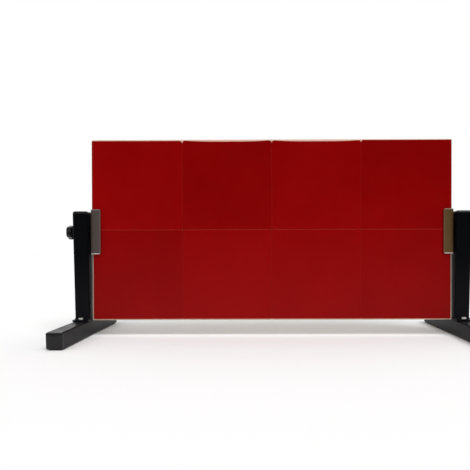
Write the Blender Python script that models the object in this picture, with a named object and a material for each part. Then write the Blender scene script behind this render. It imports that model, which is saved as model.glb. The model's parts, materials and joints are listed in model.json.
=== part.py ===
"""Table tennis rebound board: a rubber-faced panel, clamped at mid-height between two box-tube stands.

Metres, +Z up. The width runs along X, the rubber face looks towards -Y, and the origin is on the table
under the pivot axis. The board pivots about the X axis at PIVOT_HEIGHT, its middle sits BOARD_RISE
above that axis, and a lobed knob on each side locks its angle.
"""

import math

import bmesh
import bpy

# Gaps shared by every piece
SEAT_GAP = 0.0003
RUN_GAP = 0.0001
HOLE_GAP = 0.0004

# Rubber field: square sandwich sheets laid edge to edge
TILE_SIDE = 0.270
TILE_COLUMNS = 4
TILE_ROWS = 2
TILE_SEAM = 0.0006
TILE_CORNER = 0.0022
SHEET_THICKNESS = 0.0017
SHEET_EDGE_ROUND = 0.0004
SPONGE_THICKNESS = 0.0020
# How far each column's top edge is trimmed hollow at its middle, from left to right
TOP_TRIM_HOLLOWS = (0.0003, 0.0015, 0.0009, 0.0002)

# Backing panel
PANEL_SIDE_MARGIN = 0.004
PANEL_END_MARGIN = 0.0032
PANEL_THICKNESS = 0.018
PANEL_EDGE_ROUND = 0.0012

# Pivot and stance
PIVOT_HEIGHT = 0.314
REST_LEAN = math.radians(3.8)
BOARD_RISE = 0.006

# Clamp brackets, bent from plate into a U round the panel's side edges
JAW_THICKNESS = 0.0025
JAW_REACH = 0.027
JAW_HEIGHT = 0.135
JAW_CORNER = 0.005
JAW_BEND = 0.0040
JAW_EDGE_ROUND = 0.0007
CLAMP_PAD_THICKNESS = 0.0035
CLAMP_PAD_INSET = 0.0015
CLAMP_PAD_CORNER = 0.003
CLAMP_SCREW_RADIUS = 0.003
CLAMP_SCREW_HEAD_WIDTH = 0.010
CLAMP_SCREW_HEAD_HEIGHT = 0.004
CLAMP_SCREW_SPREAD = 0.050

# Pivot stud, bush, sleeve and washer
STUD_RADIUS = 0.005
STUD_CHAMFER = 0.001
STUD_GRIP = 0.018
BUSH_WALL = 0.0018
BUSH_FLANGE_RADIUS = 0.015
BUSH_FLANGE_THICKNESS = 0.0010
SLEEVE_WALL = 0.004
WASHER_RADIUS = 0.012
WASHER_THICKNESS = 0.0016

# Lobed clamping knob
KNOB_RADIUS = 0.0222
KNOB_LOBES = 5
KNOB_LOBE_DEPTH = 0.0036
KNOB_LOBE_TURN = math.radians(18)
KNOB_COLLAR_RADIUS = 0.0105
KNOB_COLLAR_LENGTH = 0.009
KNOB_HEAD_LENGTH = 0.020
KNOB_BORE_END_GAP = 0.002
# Sections of the knob's head, up its side, over its dome and up the boss in its middle: share of its
# length, share of its radius, share of the lobes' depth
KNOB_HEAD_ROWS = (
    (0.00, 0.66, 0.10),
    (0.05, 0.90, 0.70),
    (0.18, 1.00, 1.00),
    (0.50, 1.00, 1.00),
    (0.70, 0.93, 0.90),
    (0.81, 0.78, 0.55),
    (0.86, 0.54, 0.15),
    (0.88, 0.28, 0.00),
    (0.97, 0.25, 0.00),
    (1.00, 0.18, 0.00),
)

# Uprights: rectangular box tube with a welded base plate
UPRIGHT_WIDTH = 0.045
UPRIGHT_DEPTH = 0.076
UPRIGHT_RISE = 0.0625
TUBE_WALL = 0.0025
TUBE_CORNER = 0.0045
BASE_PLATE_THICKNESS = 0.005
BASE_PLATE_LIP = 0.024
BASE_PLATE_WELD_LEDGE = 0.0015

# Feet: square box tube along Y
FOOT_SIDE = 0.045
FOOT_LENGTH = 0.544
FOOT_PAD_THICKNESS = 0.002
FOOT_PAD_LENGTH = 0.060
FOOT_PAD_INSET = 0.006
FOOT_PAD_CORNER = 0.005
FOOT_PAD_FROM_END = 0.012

# Moulded plugs that close the tubes
CAP_THICKNESS = 0.0075
CAP_EDGE_ROUND = 0.0062
CAP_CROWN = 0.0005
PLUG_LENGTH = 0.014
PLUG_WALL = 0.002

# Bolts that hold the uprights to the feet
BASE_BOLT_RADIUS = 0.004
BASE_BOLT_HEAD_WIDTH = 0.013
BASE_BOLT_HEAD_HEIGHT = 0.0055
BASE_BOLT_GRIP = 0.010

# Rear stretcher: an open channel bolted across the backs of the uprights
STRETCHER_HEIGHT = 0.040
STRETCHER_FLANGE = 0.018
STRETCHER_THICKNESS = 0.002
STRETCHER_BEND = 0.004
STRETCHER_BOLT_RADIUS = 0.003
STRETCHER_BOLT_HEAD_WIDTH = 0.010
STRETCHER_BOLT_HEAD_HEIGHT = 0.004
STRETCHER_BOLT_SPREAD = 0.018
STRETCHER_BOLT_GRIP = 0.009

# Shapes shared by all bolts, as shares of the shank's radius, the head's width and the head's height
BOLT_POINT_CHAMFER = 0.2
BOLT_CROWN_RADIUS = 0.46
BOLT_FLAT_HEIGHT = 0.85

# Fineness of round shapes
CORNER_STEPS = 4
SHEET_CORNER_STEPS = 2
TRIM_STEPS = 8
ROUND_SEGMENTS = 24
BOLT_SIDES = 12
KNOB_SEGMENTS = 50
SHARP_ANGLE = math.radians(32.0)
EASED_ANGLE = math.radians(60.0)

# Sizes that follow from the ones above
SIDES = (("left", -1), ("right", 1))
ENDS = (("front", -1), ("rear", 1))
FIELD_WIDTH = TILE_SIDE * TILE_COLUMNS
FIELD_HEIGHT = TILE_SIDE * TILE_ROWS
PANEL_WIDTH = FIELD_WIDTH + 2 * PANEL_SIDE_MARGIN
PANEL_HEIGHT = FIELD_HEIGHT + 2 * PANEL_END_MARGIN
BOARD_DEPTH = SHEET_THICKNESS + SPONGE_THICKNESS + PANEL_THICKNESS + 2 * SEAT_GAP

BOARD_FRONT = -BOARD_DEPTH / 2
SHEET_MIDDLE = BOARD_FRONT + SHEET_THICKNESS / 2
SPONGE_MIDDLE = BOARD_FRONT + SHEET_THICKNESS + SEAT_GAP + SPONGE_THICKNESS / 2
PANEL_MIDDLE = -BOARD_FRONT - PANEL_THICKNESS / 2

CLAMP_INNER_DEPTH = BOARD_DEPTH + 2 * (CLAMP_PAD_THICKNESS + 2 * SEAT_GAP)
CLAMP_OUTER_DEPTH = CLAMP_INNER_DEPTH + 2 * JAW_THICKNESS
PAD_MIDDLE = BOARD_DEPTH / 2 + SEAT_GAP + CLAMP_PAD_THICKNESS / 2

PANEL_EDGE = PANEL_WIDTH / 2
WEB_INNER = PANEL_EDGE + SEAT_GAP
WEB_OUTER = WEB_INNER + JAW_THICKNESS
FLANGE_INNER = WEB_OUTER + SEAT_GAP
UPRIGHT_INNER = FLANGE_INNER + BUSH_FLANGE_THICKNESS + SEAT_GAP
UPRIGHT_MIDDLE = UPRIGHT_INNER + UPRIGHT_WIDTH / 2
UPRIGHT_OUTER = UPRIGHT_INNER + UPRIGHT_WIDTH
WASHER_INNER = UPRIGHT_OUTER + SEAT_GAP
KNOB_SEAT = WASHER_INNER + WASHER_THICKNESS + SEAT_GAP

BUSH_BORE_RADIUS = STUD_RADIUS + RUN_GAP
BUSH_RADIUS = BUSH_BORE_RADIUS + BUSH_WALL
STUD_HOLE_RADIUS = STUD_RADIUS + HOLE_GAP

FOOT_BOTTOM = FOOT_PAD_THICKNESS + SEAT_GAP
FOOT_TOP = FOOT_BOTTOM + FOOT_SIDE
BASE_BOTTOM = FOOT_TOP + SEAT_GAP
UPRIGHT_TUBE_TOP = PIVOT_HEIGHT + UPRIGHT_RISE - CAP_THICKNESS - CAP_CROWN - SEAT_GAP
FOOT_TUBE_END = FOOT_LENGTH / 2 - CAP_THICKNESS - CAP_CROWN - SEAT_GAP
BASE_BOLT_OFFSET = UPRIGHT_DEPTH / 2 + BASE_PLATE_LIP / 2


def clear_scene():
    """Remove every object that the new scene came with."""
    for scene_object in list(bpy.data.objects):
        bpy.data.objects.remove(scene_object, do_unlink=True)


def make_material(name, colour, roughness, metallic=0.0):
    """A Principled BSDF with a plain colour."""
    material = bpy.data.materials.new(name)
    material.use_nodes = True
    shader = material.node_tree.nodes["Principled BSDF"]
    shader.inputs["Base Color"].default_value = (*colour, 1.0)
    shader.inputs["Roughness"].default_value = roughness
    shader.inputs["Metallic"].default_value = metallic
    material.diffuse_color = (*colour, 1.0)
    return material


def finish_mesh(bm, name):
    """Turn a bmesh into a mesh with outward faces, smooth except at sharp edges."""
    bmesh.ops.recalc_face_normals(bm, faces=bm.faces)
    mesh = bpy.data.meshes.new(name)
    bm.to_mesh(mesh)
    bm.free()
    mesh.shade_smooth()
    mesh.set_sharp_from_angle(angle=SHARP_ANGLE)
    return mesh


def place(name, mesh, material, location=(0, 0, 0), rotation=(0, 0, 0), parent=None):
    """Put a mesh into the scene as a named piece."""
    piece = bpy.data.objects.new(name, mesh)
    bpy.context.scene.collection.objects.link(piece)
    if material and not mesh.materials:
        mesh.materials.append(material)
    piece.location = location
    piece.rotation_euler = rotation
    piece.parent = parent
    return piece


def rounded_rectangle(width, depth, radius, steps=CORNER_STEPS):
    """Corner arcs of a rectangle about the origin, counter-clockwise, as (u, v) points."""
    points = []
    for quarter in range(4):
        side_u = 1 if quarter in (0, 3) else -1
        side_v = 1 if quarter in (0, 1) else -1
        for step in range(steps + 1):
            angle = (quarter + step / steps) * math.pi / 2
            u = side_u * (width / 2 - radius) + radius * math.cos(angle)
            v = side_v * (depth / 2 - radius) + radius * math.sin(angle)
            points.append((u, v))
    return points


def circle(radius, count):
    """Points of a circle as (u, v)."""
    angles = [2 * math.pi * index / count for index in range(count)]
    return [(radius * math.cos(angle), radius * math.sin(angle)) for angle in angles]


def hexagon(width):
    """A hexagon measured across its flats, with a point at each corner and at each flat's middle."""
    points = []
    for index in range(BOLT_SIDES):
        reach = width / 2 if index % 2 == 0 else width / 2 / math.cos(math.pi / 6)
        angle = 2 * math.pi * index / BOLT_SIDES
        points.append((reach * math.cos(angle), reach * math.sin(angle)))
    return points


def extrude_to(bm, verts, points, height):
    """Extrude a closed loop of points and set the new loop on the next section."""
    edges = [bm.edges.get(pair) for pair in zip(verts, verts[1:] + verts[:1])]
    grown = bmesh.ops.extrude_edge_only(bm, edges=edges)["geom"]
    fresh = {item for item in grown if isinstance(item, bmesh.types.BMVert)}
    following = []
    for vert, (u, v) in zip(verts, points):
        partner = next(edge.other_vert(vert) for edge in vert.link_edges if edge.other_vert(vert) in fresh)
        partner.co = (u, v, height)
        following.append(partner)
    return following


def loft(sections, looped=False):
    """Skin sections of equal point count, each a (points, height) pair, along Z.

    A looped loft joins the last section to the first, which makes a tube's wall. Otherwise both ends
    are filled.
    """
    bm = bmesh.new()
    points, height = sections[0]
    verts = [bm.verts.new((u, v, height)) for u, v in points]
    first_loop = [bm.edges.new(pair) for pair in zip(verts, verts[1:] + verts[:1])]
    following_sections = sections[1:] + (sections[:1] if looped else [])
    for points, height in following_sections:
        verts = extrude_to(bm, verts, points, height)
    if looped:
        bmesh.ops.remove_doubles(bm, verts=bm.verts, dist=1e-6)
    else:
        last_loop = [bm.edges.get(pair) for pair in zip(verts, verts[1:] + verts[:1])]
        bmesh.ops.edgeloop_fill(bm, edges=first_loop)
        bmesh.ops.edgeloop_fill(bm, edges=last_loop)
    return bm


def turned(profile, segments=ROUND_SEGMENTS):
    """Spin a (radius, height) profile about Z. A profile that stays off the axis is closed to a ring."""
    bm = bmesh.new()
    verts = [bm.verts.new((radius, 0.0, height)) for radius, height in profile]
    pairs = list(zip(verts, verts[1:]))
    if all(radius > 0 for radius, _ in profile):
        pairs.append((verts[-1], verts[0]))
    edges = [bm.edges.new(pair) for pair in pairs]
    bmesh.ops.spin(
        bm,
        geom=verts + edges,
        cent=(0, 0, 0),
        axis=(0, 0, 1),
        dvec=(0, 0, 0),
        angle=2 * math.pi,
        steps=segments,
        use_merge=True,
    )
    bmesh.ops.remove_doubles(bm, verts=bm.verts, dist=1e-6)
    return bm


def extruded(outline, length):
    """Fill an outline of (u, v) points and extrude it along +Z, centred on the origin."""
    bm = bmesh.new()
    verts = [bm.verts.new((u, v, -length / 2)) for u, v in outline]
    base = bm.faces.new(verts)
    grown = bmesh.ops.extrude_face_region(bm, geom=[base])["geom"]
    moved = [item for item in grown if isinstance(item, bmesh.types.BMVert)]
    bmesh.ops.translate(bm, verts=moved, vec=(0, 0, length))
    return bm


def cut(piece, cutter_mesh, name, location, rotation=(0, 0, 0)):
    """Subtract a hidden cutter from a piece, in the piece's own frame of parent."""
    cutter = place(name, cutter_mesh, None, location, rotation, piece.parent)
    cutter.hide_render = True
    cutter.display_type = "WIRE"
    modifier = piece.modifiers.new(name, "BOOLEAN")
    modifier.operation = "DIFFERENCE"
    modifier.solver = "EXACT"
    modifier.object = cutter


def drill(radius, length, name, segments=ROUND_SEGMENTS):
    """A round cutter along Z, centred on the origin."""
    return finish_mesh(extruded(circle(radius, segments), length), name)


def channel_outline(width, flange, thickness, bend):
    """Section of a plate bent into a U: the web lies on u = 0, the flanges reach to u = -flange."""
    half = width / 2
    turn = [index / CORNER_STEPS * math.pi / 2 for index in range(CORNER_STEPS + 1)]
    inner_bend = bend - thickness
    upper_outer = [
        (-bend + bend * math.sin(angle), half - bend + bend * math.cos(angle)) for angle in turn
    ]
    upper_inner = [
        (-bend + inner_bend * math.sin(angle), half - bend + inner_bend * math.cos(angle))
        for angle in reversed(turn)
    ]
    upper = [(-flange, half)] + upper_outer
    inside = upper_inner + [(-flange, half - thickness)]
    mirrored_upper = [(u, -v) for u, v in reversed(upper)]
    mirrored_inside = [(u, -v) for u, v in reversed(inside)]
    return upper + mirrored_upper + mirrored_inside + inside


def bolt_mesh(name, shank_radius, head_width, head_height, shank_length):
    """A hexagon-headed bolt: the head rises from z = 0 and the shank hangs below it."""
    chamfer = shank_radius * BOLT_POINT_CHAMFER
    crown = head_width * BOLT_CROWN_RADIUS
    sections = [
        (circle(shank_radius - chamfer, BOLT_SIDES), -shank_length),
        (circle(shank_radius, BOLT_SIDES), chamfer - shank_length),
        (circle(shank_radius, BOLT_SIDES), 0.0),
        (hexagon(head_width), 0.0),
        (hexagon(head_width), head_height * BOLT_FLAT_HEIGHT),
        (circle(crown, BOLT_SIDES), head_height),
    ]
    return finish_mesh(loft(sections), name)


def plug_mesh(name, width, depth):
    """A moulded tube plug: a crowned plate above z = 0 and a hollow spigot that fits the tube below."""
    bore_width = width - 2 * TUBE_WALL - 2 * SEAT_GAP
    bore_depth = depth - 2 * TUBE_WALL - 2 * SEAT_GAP
    bore_corner = TUBE_CORNER - TUBE_WALL
    inner_corner = bore_corner / 2
    outline = rounded_rectangle(width, depth, TUBE_CORNER)
    crown = rounded_rectangle(width / 2, depth / 2, TUBE_CORNER)
    spigot = rounded_rectangle(bore_width, bore_depth, bore_corner)
    hollow = rounded_rectangle(bore_width - 2 * PLUG_WALL, bore_depth - 2 * PLUG_WALL, inner_corner)
    sections = [(crown, CAP_THICKNESS + CAP_CROWN)]
    for step in range(CORNER_STEPS + 1):
        angle = step / CORNER_STEPS * math.pi / 2
        drawn_in = CAP_EDGE_ROUND * (1 - math.sin(angle))
        lowered = CAP_EDGE_ROUND * (1 - math.cos(angle))
        rim = rounded_rectangle(width - 2 * drawn_in, depth - 2 * drawn_in, TUBE_CORNER)
        sections.append((rim, CAP_THICKNESS - lowered))
    sections += [
        (outline, 0.0),
        (spigot, 0.0),
        (spigot, -PLUG_LENGTH),
        (hollow, -PLUG_LENGTH),
        (hollow, 0.0),
    ]
    return finish_mesh(loft(sections), name)


def knob_outline(radius, lobe_depth):
    """Outline of the knob's grip: KNOB_LOBES rounded lobes with hollows between them."""
    points = []
    for index in range(KNOB_SEGMENTS):
        angle = 2 * math.pi * index / KNOB_SEGMENTS
        hollow = lobe_depth * (1 - math.cos(KNOB_LOBES * (angle - KNOB_LOBE_TURN))) / 2
        reach = radius - hollow
        points.append((reach * math.cos(angle), reach * math.sin(angle)))
    return points


def knob_mesh():
    """The clamping knob, lofted from its blind bore out over the collar and the lobed, domed head."""
    head_start = KNOB_COLLAR_LENGTH
    bore_radius = STUD_RADIUS + HOLE_GAP
    bore_depth = STUD_GRIP + KNOB_BORE_END_GAP
    sections = [
        (circle(bore_radius, KNOB_SEGMENTS), bore_depth),
        (circle(bore_radius, KNOB_SEGMENTS), 0.0),
        (circle(KNOB_COLLAR_RADIUS, KNOB_SEGMENTS), 0.0),
        (circle(KNOB_COLLAR_RADIUS, KNOB_SEGMENTS), head_start),
    ]
    for length_share, radius_share, lobe_share in KNOB_HEAD_ROWS:
        outline = knob_outline(KNOB_RADIUS * radius_share, KNOB_LOBE_DEPTH * lobe_share)
        sections.append((outline, head_start + KNOB_HEAD_LENGTH * length_share))
    return finish_mesh(loft(sections), "lobed_knob")


def bracket_mesh():
    """The clamp bracket: a channel along Z with its jaws' free corners rounded."""
    flange = WEB_OUTER - (PANEL_EDGE - JAW_REACH)
    bm = extruded(channel_outline(CLAMP_OUTER_DEPTH, flange, JAW_THICKNESS, JAW_BEND), JAW_HEIGHT)
    tip = -flange
    corners = []
    for edge in bm.edges:
        start, end = (vert.co for vert in edge.verts)
        at_tip = abs(start.x - tip) < SEAT_GAP and abs(end.x - tip) < SEAT_GAP
        across_plate = abs(start.z - end.z) < SEAT_GAP
        if at_tip and across_plate:
            corners.append(edge)
    bmesh.ops.bevel(
        bm,
        geom=corners,
        offset=JAW_CORNER,
        segments=CORNER_STEPS,
        profile=0.5,
        affect="EDGES",
        material=-1,
    )
    return finish_mesh(bm, "clamp_bracket")


def sheet_outline(side, hollow):
    """A square with small corner arcs, whose upper edge is trimmed hollow by a shallow arc."""
    points = rounded_rectangle(side, side, TILE_CORNER, SHEET_CORNER_STEPS)
    if not hollow:
        return points
    first_corner = SHEET_CORNER_STEPS + 1
    straight = side / 2 - TILE_CORNER
    shares = [1 - 2 * step / TRIM_STEPS for step in range(1, TRIM_STEPS)]
    trimmed = [(straight * share, side / 2 - hollow * (1 - share * share)) for share in shares]
    return points[:first_corner] + trimmed + points[first_corner:]


def sheet_mesh(side, hollow):
    """A top sheet with its face towards +Z and the arris of its face eased."""
    outline = sheet_outline(side, hollow)
    eased = sheet_outline(side - 2 * SHEET_EDGE_ROUND, hollow)
    half = SHEET_THICKNESS / 2
    sections = [(outline, -half), (outline, half - SHEET_EDGE_ROUND), (eased, half)]
    return finish_mesh(loft(sections), "top_sheet")


def build_rubber(board_pivot, sheet_material, sponge_material):
    """Lay the sandwich sheets: a sponge and a smooth top sheet for each square of the field."""
    side = TILE_SIDE - TILE_SEAM
    square = [(-side / 2, -side / 2), (side / 2, -side / 2), (side / 2, side / 2), (-side / 2, side / 2)]
    sponge = finish_mesh(extruded(square, SPONGE_THICKNESS), "sponge")
    facing = (math.pi / 2, 0, 0)
    for row, level in enumerate(("upper", "lower")[:TILE_ROWS]):
        for column in range(TILE_COLUMNS):
            x = (column - (TILE_COLUMNS - 1) / 2) * TILE_SIDE
            z = BOARD_RISE + ((TILE_ROWS - 1) / 2 - row) * TILE_SIDE
            label = f"{level}_{column + 1}"
            hollow = TOP_TRIM_HOLLOWS[column % len(TOP_TRIM_HOLLOWS)] if row == 0 else 0.0
            sheet = sheet_mesh(side, hollow)
            place(f"top_sheet_{label}", sheet, sheet_material, (x, SHEET_MIDDLE, z), facing, board_pivot)
            place(f"sponge_{label}", sponge, sponge_material, (x, SPONGE_MIDDLE, z), facing, board_pivot)


def build_panel(board_pivot, material):
    """The backing panel, with its arrises eased all round."""
    outline = rounded_rectangle(PANEL_WIDTH, PANEL_HEIGHT, PANEL_EDGE_ROUND)
    bm = extruded(outline, PANEL_THICKNESS)
    panel = place(
        "backing_panel",
        finish_mesh(bm, "backing_panel"),
        material,
        (0, PANEL_MIDDLE, BOARD_RISE),
        (math.pi / 2, 0, 0),
        board_pivot,
    )
    easing = panel.modifiers.new("eased_arris", "BEVEL")
    easing.width = PANEL_EDGE_ROUND
    easing.segments = 2
    easing.limit_method = "ANGLE"
    easing.angle_limit = EASED_ANGLE


def build_clamp(side, sign, board_pivot, plate_material, pad_material, screw_material):
    """One side's clamp: the bent bracket, a pad in each jaw and the two screws that pinch the board."""
    bracket = place(
        f"{side}_clamp_bracket",
        bracket_mesh(),
        plate_material,
        (sign * WEB_OUTER, 0, 0),
        (0, 0, 0 if sign > 0 else math.pi),
        board_pivot,
    )
    easing = bracket.modifiers.new("eased_edges", "BEVEL")
    easing.width = JAW_EDGE_ROUND
    easing.segments = 2
    easing.limit_method = "ANGLE"
    easing.angle_limit = EASED_ANGLE
    web_middle = sign * (WEB_OUTER - JAW_THICKNESS / 2)
    stud_cutter = drill(STUD_RADIUS + SEAT_GAP, 3 * JAW_THICKNESS, f"{side}_web_drill")
    cut(bracket, stud_cutter, f"{side}_web_hole", (web_middle, 0, 0), (0, math.pi / 2, 0))

    pad_width = JAW_REACH - 2 * CLAMP_PAD_INSET
    pad_outline = rounded_rectangle(pad_width, JAW_HEIGHT - 2 * CLAMP_PAD_INSET, CLAMP_PAD_CORNER)
    pad_x = sign * (PANEL_EDGE - JAW_REACH / 2)
    for end, facing in ENDS:
        pad = finish_mesh(extruded(pad_outline, CLAMP_PAD_THICKNESS), f"{side}_{end}_pad")
        pad_place = (pad_x, facing * PAD_MIDDLE, 0)
        place(f"{side}_{end}_clamp_pad", pad, pad_material, pad_place, (math.pi / 2, 0, 0), board_pivot)

    jaw_back = CLAMP_OUTER_DEPTH / 2
    screw = bolt_mesh(
        "clamp_screw",
        CLAMP_SCREW_RADIUS,
        CLAMP_SCREW_HEAD_WIDTH,
        CLAMP_SCREW_HEAD_HEIGHT,
        SEAT_GAP + JAW_THICKNESS,
    )
    screw_hole = CLAMP_SCREW_RADIUS + HOLE_GAP
    for level, up in (("upper", 1), ("lower", -1)):
        z = up * CLAMP_SCREW_SPREAD / 2
        cutter = drill(screw_hole, 3 * JAW_THICKNESS, f"{side}_{level}_jaw_drill", BOLT_SIDES)
        hole_place = (pad_x, jaw_back - JAW_THICKNESS / 2, z)
        cut(bracket, cutter, f"{side}_{level}_jaw_hole", hole_place, (math.pi / 2, 0, 0))
        screw_place = (pad_x, jaw_back + SEAT_GAP, z)
        place(
            f"{side}_{level}_clamp_screw",
            screw,
            screw_material,
            screw_place,
            (-math.pi / 2, 0, 0),
            board_pivot,
        )


def build_pivot(side, sign, board_pivot, steel, plastic, knob_shape):
    """One side's pivot: stud in the bracket, bush and sleeve in the upright, washer and knob outside."""
    outward = (0, sign * math.pi / 2, 0)
    stud_length = KNOB_SEAT - WEB_INNER + STUD_GRIP
    stud = turned(
        [
            (0.0, 0.0),
            (STUD_RADIUS, 0.0),
            (STUD_RADIUS, stud_length - STUD_CHAMFER),
            (STUD_RADIUS - STUD_CHAMFER, stud_length),
            (0.0, stud_length),
        ]
    )
    stud_mesh = finish_mesh(stud, f"{side}_stud")
    place(f"{side}_pivot_stud", stud_mesh, steel, (sign * WEB_INNER, 0, 0), outward, board_pivot)

    bush_end = BUSH_FLANGE_THICKNESS + SEAT_GAP + TUBE_WALL
    bush = turned(
        [
            (BUSH_BORE_RADIUS, 0.0),
            (BUSH_FLANGE_RADIUS, 0.0),
            (BUSH_FLANGE_RADIUS, BUSH_FLANGE_THICKNESS),
            (BUSH_RADIUS, BUSH_FLANGE_THICKNESS),
            (BUSH_RADIUS, bush_end),
            (BUSH_BORE_RADIUS, bush_end),
        ]
    )
    bush_place = (sign * FLANGE_INNER, 0, PIVOT_HEIGHT)
    place(f"{side}_pivot_bush", finish_mesh(bush, f"{side}_bush"), plastic, bush_place, outward)

    sleeve_length = UPRIGHT_WIDTH - 2 * TUBE_WALL - 2 * SEAT_GAP
    sleeve_radius = STUD_HOLE_RADIUS + SLEEVE_WALL
    sleeve = turned(
        [
            (STUD_HOLE_RADIUS, 0.0),
            (sleeve_radius, 0.0),
            (sleeve_radius, sleeve_length),
            (STUD_HOLE_RADIUS, sleeve_length),
        ]
    )
    sleeve_place = (sign * (UPRIGHT_INNER + TUBE_WALL + SEAT_GAP), 0, PIVOT_HEIGHT)
    place(f"{side}_pivot_sleeve", finish_mesh(sleeve, f"{side}_sleeve"), steel, sleeve_place, outward)

    washer = turned(
        [
            (STUD_HOLE_RADIUS, 0.0),
            (WASHER_RADIUS, 0.0),
            (WASHER_RADIUS, WASHER_THICKNESS),
            (STUD_HOLE_RADIUS, WASHER_THICKNESS),
        ]
    )
    washer_mesh = finish_mesh(washer, f"{side}_washer")
    washer_place = (sign * WASHER_INNER, 0, 0)
    place(f"{side}_knob_washer", washer_mesh, steel, washer_place, outward, board_pivot)
    place(f"{side}_knob", knob_shape, plastic, (sign * KNOB_SEAT, 0, 0), outward, board_pivot)


def build_upright(side, sign, paint, cap_material, cap_mesh):
    """An upright box tube with its welded base plate, drilled for the pivot and the bolts, and its cap."""
    tube = rounded_rectangle(UPRIGHT_WIDTH, UPRIGHT_DEPTH, TUBE_CORNER)
    bore = rounded_rectangle(
        UPRIGHT_WIDTH - 2 * TUBE_WALL, UPRIGHT_DEPTH - 2 * TUBE_WALL, TUBE_CORNER - TUBE_WALL
    )
    plate_width = UPRIGHT_WIDTH + 2 * BASE_PLATE_WELD_LEDGE
    plate = rounded_rectangle(plate_width, UPRIGHT_DEPTH + 2 * BASE_PLATE_LIP, TUBE_CORNER)
    tube_height = UPRIGHT_TUBE_TOP - BASE_BOTTOM
    weldment = loft(
        [
            (plate, 0.0),
            (plate, BASE_PLATE_THICKNESS),
            (tube, BASE_PLATE_THICKNESS),
            (tube, tube_height),
            (bore, tube_height),
            (bore, 0.0),
        ],
        looped=True,
    )
    upright_x = sign * UPRIGHT_MIDDLE
    upright = place(
        f"{side}_upright",
        finish_mesh(weldment, f"{side}_upright"),
        paint,
        (upright_x, 0, BASE_BOTTOM),
    )
    across = (0, math.pi / 2, 0)
    base_hole = BASE_BOLT_RADIUS + HOLE_GAP
    back_hole = STRETCHER_BOLT_RADIUS + HOLE_GAP
    inner_wall = (sign * (UPRIGHT_INNER + TUBE_WALL / 2), 0, PIVOT_HEIGHT)
    outer_wall = (sign * (UPRIGHT_OUTER - TUBE_WALL / 2), 0, PIVOT_HEIGHT)
    bush_cutter = drill(BUSH_RADIUS + SEAT_GAP, 3 * TUBE_WALL, f"{side}_bush_drill")
    stud_cutter = drill(STUD_HOLE_RADIUS, 3 * TUBE_WALL, f"{side}_stud_drill")
    cut(upright, bush_cutter, f"{side}_bush_hole", inner_wall, across)
    cut(upright, stud_cutter, f"{side}_stud_hole", outer_wall, across)
    for end, facing in ENDS:
        cutter = drill(base_hole, 3 * BASE_PLATE_THICKNESS, f"{side}_{end}_plate_drill", BOLT_SIDES)
        cutter_place = (upright_x, facing * BASE_BOLT_OFFSET, BASE_BOTTOM + BASE_PLATE_THICKNESS / 2)
        cut(upright, cutter, f"{side}_{end}_plate_hole", cutter_place)
    for level, up in (("upper", 1), ("lower", -1)):
        bolt_z = PIVOT_HEIGHT + up * STRETCHER_BOLT_SPREAD / 2
        cutter = drill(back_hole, 3 * TUBE_WALL, f"{side}_{level}_back_drill", BOLT_SIDES)
        cutter_place = (upright_x, UPRIGHT_DEPTH / 2 - TUBE_WALL / 2, bolt_z)
        cut(upright, cutter, f"{side}_{level}_back_hole", cutter_place, (math.pi / 2, 0, 0))
    cap_place = (upright_x, 0, UPRIGHT_TUBE_TOP + SEAT_GAP)
    place(f"{side}_upright_cap", cap_mesh, cap_material, cap_place)


def build_foot(side, sign, paint, cap_material, pad_material, bolt_material, cap_mesh):
    """A square-tube foot along Y with a plug in each end, a pad under each end and the base bolts."""
    foot_x = sign * UPRIGHT_MIDDLE
    tube = rounded_rectangle(FOOT_SIDE, FOOT_SIDE, TUBE_CORNER)
    bore_side = FOOT_SIDE - 2 * TUBE_WALL
    bore = rounded_rectangle(bore_side, bore_side, TUBE_CORNER - TUBE_WALL)
    ends = (-FOOT_TUBE_END, FOOT_TUBE_END)
    walls = loft([(tube, ends[0]), (tube, ends[1]), (bore, ends[1]), (bore, ends[0])], looped=True)
    foot_middle = FOOT_BOTTOM + FOOT_SIDE / 2
    foot = place(
        f"{side}_foot_tube",
        finish_mesh(walls, f"{side}_foot_tube"),
        paint,
        (foot_x, 0, foot_middle),
        (math.pi / 2, 0, 0),
    )
    bolt = bolt_mesh(
        "base_bolt",
        BASE_BOLT_RADIUS,
        BASE_BOLT_HEAD_WIDTH,
        BASE_BOLT_HEAD_HEIGHT,
        SEAT_GAP + BASE_PLATE_THICKNESS + SEAT_GAP + TUBE_WALL + BASE_BOLT_GRIP,
    )
    pad_outline = rounded_rectangle(FOOT_SIDE - 2 * FOOT_PAD_INSET, FOOT_PAD_LENGTH, FOOT_PAD_CORNER)
    pad = finish_mesh(extruded(pad_outline, FOOT_PAD_THICKNESS), "foot_pad")
    base_hole = BASE_BOLT_RADIUS + HOLE_GAP
    pad_offset = FOOT_LENGTH / 2 - FOOT_PAD_FROM_END - FOOT_PAD_LENGTH / 2
    for end, facing in ENDS:
        cutter = drill(base_hole, 3 * TUBE_WALL, f"{side}_{end}_foot_drill", BOLT_SIDES)
        bolt_y = facing * BASE_BOLT_OFFSET
        cut(foot, cutter, f"{side}_{end}_foot_hole", (foot_x, bolt_y, FOOT_TOP - TUBE_WALL / 2))
        bolt_place = (foot_x, bolt_y, BASE_BOTTOM + BASE_PLATE_THICKNESS + SEAT_GAP)
        place(f"{side}_{end}_base_bolt", bolt, bolt_material, bolt_place)
        cap_place = (foot_x, facing * (FOOT_TUBE_END + SEAT_GAP), foot_middle)
        cap_turn = (-facing * math.pi / 2, 0, 0)
        place(f"{side}_foot_{end}_cap", cap_mesh, cap_material, cap_place, cap_turn)
        pad_place = (foot_x, facing * pad_offset, FOOT_PAD_THICKNESS / 2)
        place(f"{side}_{end}_foot_pad", pad, pad_material, pad_place)


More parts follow.
